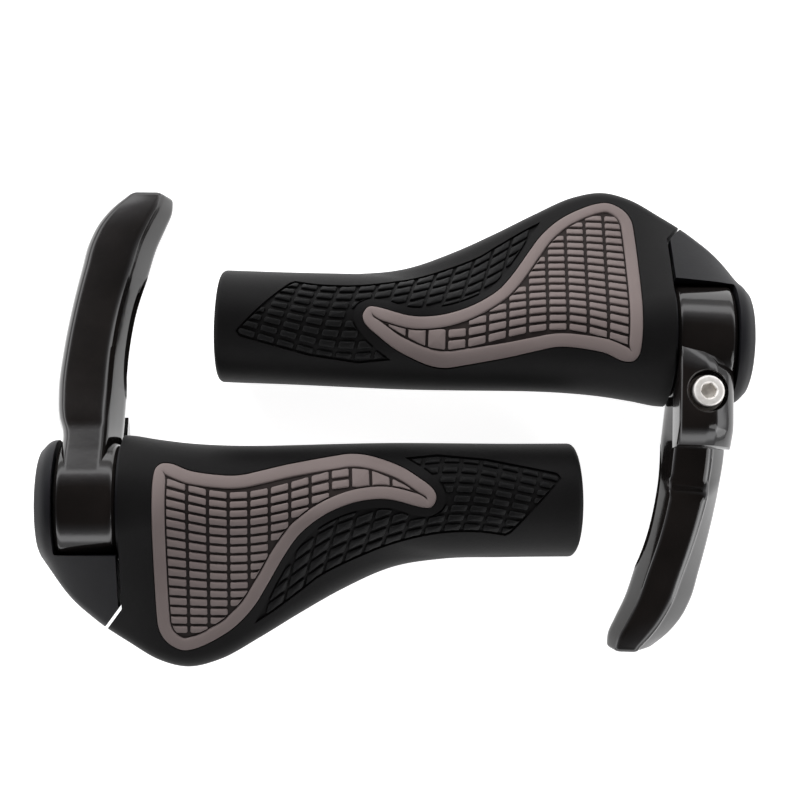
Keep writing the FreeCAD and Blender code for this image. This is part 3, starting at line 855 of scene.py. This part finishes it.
def flank_pocket(side, flip):
    """The long hollow in the inboard flank of the horn."""
    rows = []
    for away in np.linspace(POCKET_MIDDLE - 18.5, POCKET_MIDDLE + 18.5, 40):
        fullness = math.sqrt(max(1 - ((away - POCKET_MIDDLE) / 18.6) ** 4, 0.0))
        half = POCKET_HALF * fullness + 0.05
        flank = float(smooth(HORN_STATIONS, 1, away) + smooth(HORN_STATIONS, 2, away))
        deep = flank - POCKET_DEPTH * fullness - 0.02
        corners = [
            (flank + 4, POCKET_LEVEL + half), (deep + 0.5, POCKET_LEVEL + half * 0.86), (deep, POCKET_LEVEL),
            (deep + 0.5, POCKET_LEVEL - half * 0.86), (flank + 4, POCKET_LEVEL - half),
        ]
        loop = rounded(corners, 0.7, 4)
        rows.append(np.column_stack([loop[:, 0], np.full(len(loop), away), loop[:, 1]]))
    return lofted(f"{side}_pocket_tool", rows, flip)


def ring_profile():
    """The clamp ring's section with rounded outer edges, as (along, radius)."""
    shoulder = []
    for angle in np.linspace(0, math.pi / 2, 6):
        back = RING_EDGE_WIDE * (1 - math.cos(angle))
        shoulder.append((back, RING_RADIUS - RING_EDGE_TALL * (1 - math.sin(angle))))
    profile = [(RING_START, RING_BORE - 1.0)]
    profile += [(RING_START + back, radius) for back, radius in shoulder]
    profile += [(RING_END - back, radius) for back, radius in shoulder[::-1]]
    profile.append((RING_END, RING_BORE - 1.0))
    return profile


def make_bar_end(side):
    """Horn, ring and tongue in one casting, then its bore, slit, bolt hole and flank pocket."""
    flip = UNITS[side]["up"]
    casting = horn_blank(side, flip)
    cut(casting, turned(f"{side}_ring_tool", ring_profile()), "UNION")
    cut(casting, tongue_blank(side, flip), "UNION")
    start, end = RING_START - 9, RING_END + 9
    bore = [(start, 2.0), (start, RING_BORE), (end, RING_BORE), (end, 2.0)]
    rows = [circle_row(along, radius, CIRCLE_POINTS) for along, radius in bore]
    cut(casting, lofted(f"{side}_bore_tool", rows))
    cut(casting, tilted_block(f"{side}_slit_tool", flip, [
        (10, SLIT_DEPTH), (10, SLIT_DEPTH - SLIT_WIDTH), (47, SLIT_DEPTH - SLIT_WIDTH), (47, SLIT_DEPTH),
    ], 14))
    cut(casting, bolt_shape(f"{side}_counterbore_tool", flip, [
        (COUNTERBORE + 0.5, -24.0), (COUNTERBORE + 0.5, -18.1),
        (COUNTERBORE, -17.5), (COUNTERBORE, SEAT_DEPTH),
    ]))
    cut(casting, bolt_shape(f"{side}_hole_tool", flip, [
        (CLEARANCE_RADIUS, SEAT_DEPTH - 1), (CLEARANCE_RADIUS, -6.6),
        (THREAD_RADIUS, -6.5), (THREAD_RADIUS, 7.0),
    ], 40))
    cut(casting, flank_pocket(side, flip))
    settle(casting, side, 24, "horn_roll")
    return casting


def make_bolt(side):
    """Socket head cap bolt: rolled edge and a hexagon socket."""
    flip = UNITS[side]["up"]
    under = SEAT_DEPTH - WASHER_THICKNESS
    top = under - HEAD_HEIGHT
    bolt = bolt_shape(f"{side}_bolt", flip, [
        (3.5, top), (3.8, top + 0.08), (4.1, top + 0.3), (HEAD_RADIUS, top + 0.65),
        (HEAD_RADIUS, under - 0.2), (4.05, under),
        (2.5, under + 0.02), (2.5, under + 15.4), (2.0, under + 16.0),
    ], 96)
    socket = [bolt_ring(SOCKET_RADIUS, depth, 6, math.radians(12)) for depth in (top - 1.0, top + 2.6)]
    cut(bolt, lofted(f"{side}_socket_tool", socket, flip))
    cut(bolt, bolt_shape(f"{side}_socket_chamfer_tool", flip, [(2.75, top - 0.3), (2.0, top + 0.45)], 48))
    settle(bolt, side, 30, "horn_roll")
    return bolt


# ---------------------------------------------------------------- end cap
CAP_POINTS = 200
CAP_START, CAP_WALL_END = 1.4, 5.8
CAP_POCKET, CORE_SOCKET, CORE_SOCKET_START = 16.9, 13.15, 3.2
CAP_SEAM = 22.6
WINDOW_EDGE = -13.4


def make_cap(side):
    """The cap: rounded end wall with a flange, and the filler behind the ring up to the seam."""
    rows = []
    first = section_ring(CAP_START, CAP_POINTS)
    middle = first.mean(axis=0)
    for step in range(4):
        angle = step / 4 * math.pi / 2
        place = CAP_START - 0.3 * (1 - math.sin(angle))
        shrink = 1 - 0.05 * (1 - math.sin(angle))
        rows.append(np.column_stack([np.full(CAP_POINTS, place), middle + (first - middle) * shrink]))
    for place in np.concatenate([np.linspace(CAP_START, 8.0, 16), np.linspace(8.0, CAP_SEAM + 6, 24)[1:]]):
        rows.append(np.column_stack([np.full(CAP_POINTS, place), section_ring(place, CAP_POINTS)]))
    cap = lofted(f"{side}_cap", rows)
    cut(cap, seam_block(f"{side}_seam_cut_tool", CAP_SEAM, CAP_SEAM + 20, 1.6))
    window = [(CAP_WALL_END, WINDOW_EDGE), (40, WINDOW_EDGE), (40, 40), (CAP_WALL_END, 40)]
    cut(cap, slab(f"{side}_window_tool", rounded(window, [0.8, 0.2, 0.2, 0.2])))
    # the pocket starts a hair inside the wall, so that no two cuts share a plane
    for name, start, radius in (
        ("pocket", CAP_WALL_END + 0.03, CAP_POCKET), ("socket", CORE_SOCKET_START, CORE_SOCKET),
    ):
        hole = [circle_row(along, radius, CIRCLE_POINTS) for along in (start, 40.0)]
        cut(cap, lofted(f"{side}_{name}_cut_tool", hole))
    settle(cap, side, 28)
    return cap


# ---------------------------------------------------------------- materials
def new_material(name):
    """A material with its nodes, links and shader."""
    material = bpy.data.materials.new(name)
    material.use_nodes = True
    nodes = material.node_tree.nodes
    return material, nodes, material.node_tree.links, nodes["Principled BSDF"]


def noise(nodes, links, scale, detail, roughness=0.5):
    """Noise on the piece's own coordinates."""
    coordinates = nodes.new("ShaderNodeTexCoord")
    node = nodes.new("ShaderNodeTexNoise")
    node.inputs["Scale"].default_value = scale
    node.inputs["Detail"].default_value = detail
    node.inputs["Roughness"].default_value = roughness
    links.new(coordinates.outputs["Object"], node.inputs["Vector"])
    return node.outputs["Fac"]


def ramp(nodes, links, source, stops):
    """A colour ramp on a source."""
    node = nodes.new("ShaderNodeValToRGB")
    while len(node.color_ramp.elements) < len(stops):
        node.color_ramp.elements.new(0.5)
    for element, (place, colour) in zip(node.color_ramp.elements, stops):
        element.position = place
        element.color = (*colour, 1)
    links.new(source, node.inputs["Fac"])
    return node.outputs["Color"]


def span(nodes, links, source, low, high):
    """The source from 0 to 1, brought between two values."""
    node = nodes.new("ShaderNodeMapRange")
    node.inputs["To Min"].default_value = low
    node.inputs["To Max"].default_value = high
    links.new(source, node.inputs["Value"])
    return node.outputs["Result"]


def bump(nodes, links, height, strength, distance):
    """Fine relief from a height; the distance is in metres."""
    node = nodes.new("ShaderNodeBump")
    node.inputs["Strength"].default_value = strength
    node.inputs["Distance"].default_value = distance
    links.new(height, node.inputs["Height"])
    return node.outputs["Normal"]


def moulded_rubber(name, dark, light, roughness):
    """Matte elastomer: fine spark-eroded grain and a faint drift of colour."""
    material, nodes, links, shader = new_material(name)
    drift = noise(nodes, links, 45.0, 3.0)
    grain = noise(nodes, links, 2600.0, 3.0, 0.6)
    links.new(ramp(nodes, links, drift, [(0.3, dark), (0.7, light)]), shader.inputs["Base Color"])
    links.new(span(nodes, links, grain, roughness - 0.08, roughness + 0.1), shader.inputs["Roughness"])
    links.new(bump(nodes, links, grain, 0.35, 0.00012), shader.inputs["Normal"])
    shader.inputs["Specular IOR Level"].default_value = 0.13
    return material


def gloss_paint():
    """Black stove enamel on a casting: deep gloss with a trace of orange peel."""
    material, nodes, links, shader = new_material("black_gloss_paint")
    peel = noise(nodes, links, 420.0, 2.0)
    drift = noise(nodes, links, 60.0, 3.0)
    links.new(ramp(nodes, links, drift, [(0.3, (0.0045, 0.004, 0.0038)), (0.75, (0.009, 0.0075, 0.007))]),
              shader.inputs["Base Color"])
    links.new(span(nodes, links, drift, 0.1, 0.17), shader.inputs["Roughness"])
    links.new(bump(nodes, links, peel, 0.10, 0.0002), shader.inputs["Normal"])
    shader.inputs["Coat Weight"].default_value = 0.35
    shader.inputs["Coat Roughness"].default_value = 0.03
    shader.inputs["Specular IOR Level"].default_value = 0.5
    return material


def satin_plastic(name, roughness, gloss):
    """Moulded black plastic with a fine grain; gloss adds a clear coat."""
    material, nodes, links, shader = new_material(name)
    drift = noise(nodes, links, 70.0, 3.0)
    grain = noise(nodes, links, 1800.0, 2.0)
    links.new(ramp(nodes, links, drift, [(0.3, (0.005, 0.005, 0.006)), (0.7, (0.008, 0.008, 0.0096))]),
              shader.inputs["Base Color"])
    links.new(span(nodes, links, grain, roughness - 0.05, roughness + 0.06), shader.inputs["Roughness"])
    links.new(bump(nodes, links, grain, 0.2, 0.00008), shader.inputs["Normal"])
    shader.inputs["Specular IOR Level"].default_value = 0.2
    shader.inputs["Coat Weight"].default_value = gloss
    shader.inputs["Coat Roughness"].default_value = 0.12
    return material


def plated_steel():
    """Dull zinc-plated steel."""
    material, nodes, links, shader = new_material("plated_steel")
    wear = noise(nodes, links, 900.0, 4.0)
    links.new(ramp(nodes, links, wear, [(0.3, (0.8, 0.77, 0.73)), (0.7, (0.92, 0.9, 0.87))]),
              shader.inputs["Base Color"])
    links.new(span(nodes, links, wear, 0.42, 0.58), shader.inputs["Roughness"])
    links.new(bump(nodes, links, wear, 0.12, 0.00006), shader.inputs["Normal"])
    shader.inputs["Metallic"].default_value = 0.6
    return material


def give(piece, material):
    """One material for the whole piece."""
    piece.data.materials.clear()
    piece.data.materials.append(material)


BLACK_RUBBER = moulded_rubber("black_rubber_grip", (0.0032, 0.0031, 0.0032), (0.0052, 0.005, 0.0051), 0.52)
BRICK_RUBBER = moulded_rubber("black_rubber_bricks", (0.0042, 0.0042, 0.0043), (0.007, 0.007, 0.0072), 0.44)
GRAY_RUBBER = moulded_rubber("gray_rubber_inlay", (0.132, 0.107, 0.103), (0.157, 0.130, 0.125), 0.62)
# Painted shade: the inlay's groove floors are coloured darker than the gray rubber to stand for the shade in
# the narrow grooves.
GROOVE_SHADE_RUBBER = moulded_rubber("groove_painted_shade_rubber", (0.016, 0.0125, 0.012), (0.024, 0.019, 0.018), 0.7)
PAINT = gloss_paint()
CAP_PLASTIC = satin_plastic("cap_plastic", 0.5, 0.0)
BADGE_GLOSS = satin_plastic("badge_gloss", 0.16, 0.8)
CORE_NYLON = satin_plastic("core_nylon", 0.5, 0.0)
STEEL = plated_steel()


# ---------------------------------------------------------------- putting the units together
for side in UNITS:
    body = f"{side}_grip"
    rubber = make_rubber(side)
    give(rubber, BLACK_RUBBER)
    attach(rubber, body)
    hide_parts(f"{side}_rubber_grip")
    for word, upward in (("top", 1), ("bottom", -1)):
        flip = upward * UNITS[side]["up"]
        inlay = make_inlay(side, word, flip)
        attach(inlay, body)
        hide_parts(f"{side}_{word}_inlay")
        field = make_field(side, word, flip)
        give(field, BRICK_RUBBER)
        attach(field, body)
    give(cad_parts[f"{side}_core_sleeve"], CORE_NYLON)
    casting = make_bar_end(side)
    give(casting, PAINT)
    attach(casting, f"{side}_bar_end")
    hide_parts(f"{side}_bar_end")
    cap = make_cap(side)
    give(cap, CAP_PLASTIC)
    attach(cap, f"{side}_cap")
    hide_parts(f"{side}_end_cap")
    bolt = make_bolt(side)
    give(bolt, STEEL)
    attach(bolt, f"{side}_bolt")
    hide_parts(f"{side}_clamp_bolt")
    give(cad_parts[f"{side}_end_badge"], BADGE_GLOSS)
    give(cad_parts[f"{side}_bolt_washer"], STEEL)


# ---------------------------------------------------------------- floor, lights and camera
FLOOR_SIZE, FLOOR_HEIGHT = 6.0, -0.0002


def make_floor():
    """A plain sheet of white paper, lit evenly."""
    bpy.ops.mesh.primitive_plane_add(size=FLOOR_SIZE, location=(0, 0, FLOOR_HEIGHT))
    floor = bpy.context.object
    floor.name = "studio_floor"
    material, nodes, links, shader = new_material("studio_paper")
    fibre = noise(nodes, links, 300.0, 3.0)
    links.new(ramp(nodes, links, fibre, [(0.3, (0.62, 0.62, 0.62)), (0.7, (0.66, 0.66, 0.66))]),
              shader.inputs["Base Color"])
    shader.inputs["Roughness"].default_value = 0.9
    shader.inputs["Emission Color"].default_value = (1, 1, 1, 1)
    shader.inputs["Emission Strength"].default_value = 0.92
    floor.data.materials.append(material)


def add_area(name, place, target, size, power):
    """A rectangular soft light that looks at a target."""
    light = bpy.data.lights.new(name, "AREA")
    light.shape = "RECTANGLE"
    light.size, light.size_y = size
    light.energy = power
    lamp = bpy.data.objects.new(name, light)
    lamp.location = place
    lamp.rotation_euler = (Vector(target) - Vector(place)).to_track_quat("-Z", "Y").to_euler()
    bpy.context.scene.collection.objects.link(lamp)
    return lamp


def light_studio():
    """A white tent lit from the sides, dark straight above where the camera looks through."""
    world = bpy.data.worlds.new("studio")
    world.use_nodes = True
    nodes, links = world.node_tree.nodes, world.node_tree.links
    coordinates = nodes.new("ShaderNodeTexCoord")
    split = nodes.new("ShaderNodeSeparateXYZ")
    links.new(coordinates.outputs["Generated"], split.inputs["Vector"])
    stops = [
        (0.0, (0.3, 0.3, 0.305)), (0.2, (0.42, 0.42, 0.43)), (0.3, (1.3, 1.3, 1.32)),
        (0.44, (1.25, 1.25, 1.27)), (0.54, (0.34, 0.34, 0.35)), (0.68, (0.1, 0.1, 0.104)),
        (0.82, (0.026, 0.022, 0.02)), (1.0, (0.024, 0.019, 0.017)),
    ]
    links.new(ramp(nodes, links, split.outputs["Z"], stops), nodes["Background"].inputs["Color"])
    nodes["Background"].inputs["Strength"].default_value = 1.95
    bpy.context.scene.world = world
    softbox = add_area("softbox_far", (-0.2, 0.55, 0.36), (0.0, 0.02, 0), (0.5, 0.3), 5.2)
    softbox.visible_glossy = False
    add_area("fill_near", (0.5, -0.3, 0.3), (0.02, 0, 0), (0.2, 0.5), 0.6)


CAMERA_PLACE = (0.7 * MM, 6.7 * MM, 0.41)
CAMERA_LENS, CAMERA_SENSOR = 61.9, 36.0


def make_camera():
    """Straight above the pair, looking down."""
    data = bpy.data.cameras.new("camera")
    camera = bpy.data.objects.new("camera", data)
    camera.location = CAMERA_PLACE
    data.sensor_width = CAMERA_SENSOR
    data.lens = CAMERA_LENS
    data.clip_start = 0.01
    bpy.context.scene.collection.objects.link(camera)
    bpy.context.scene.camera = camera


make_floor()
light_studio()
make_camera()
bpy.context.scene.view_settings.view_transform = "Standard"
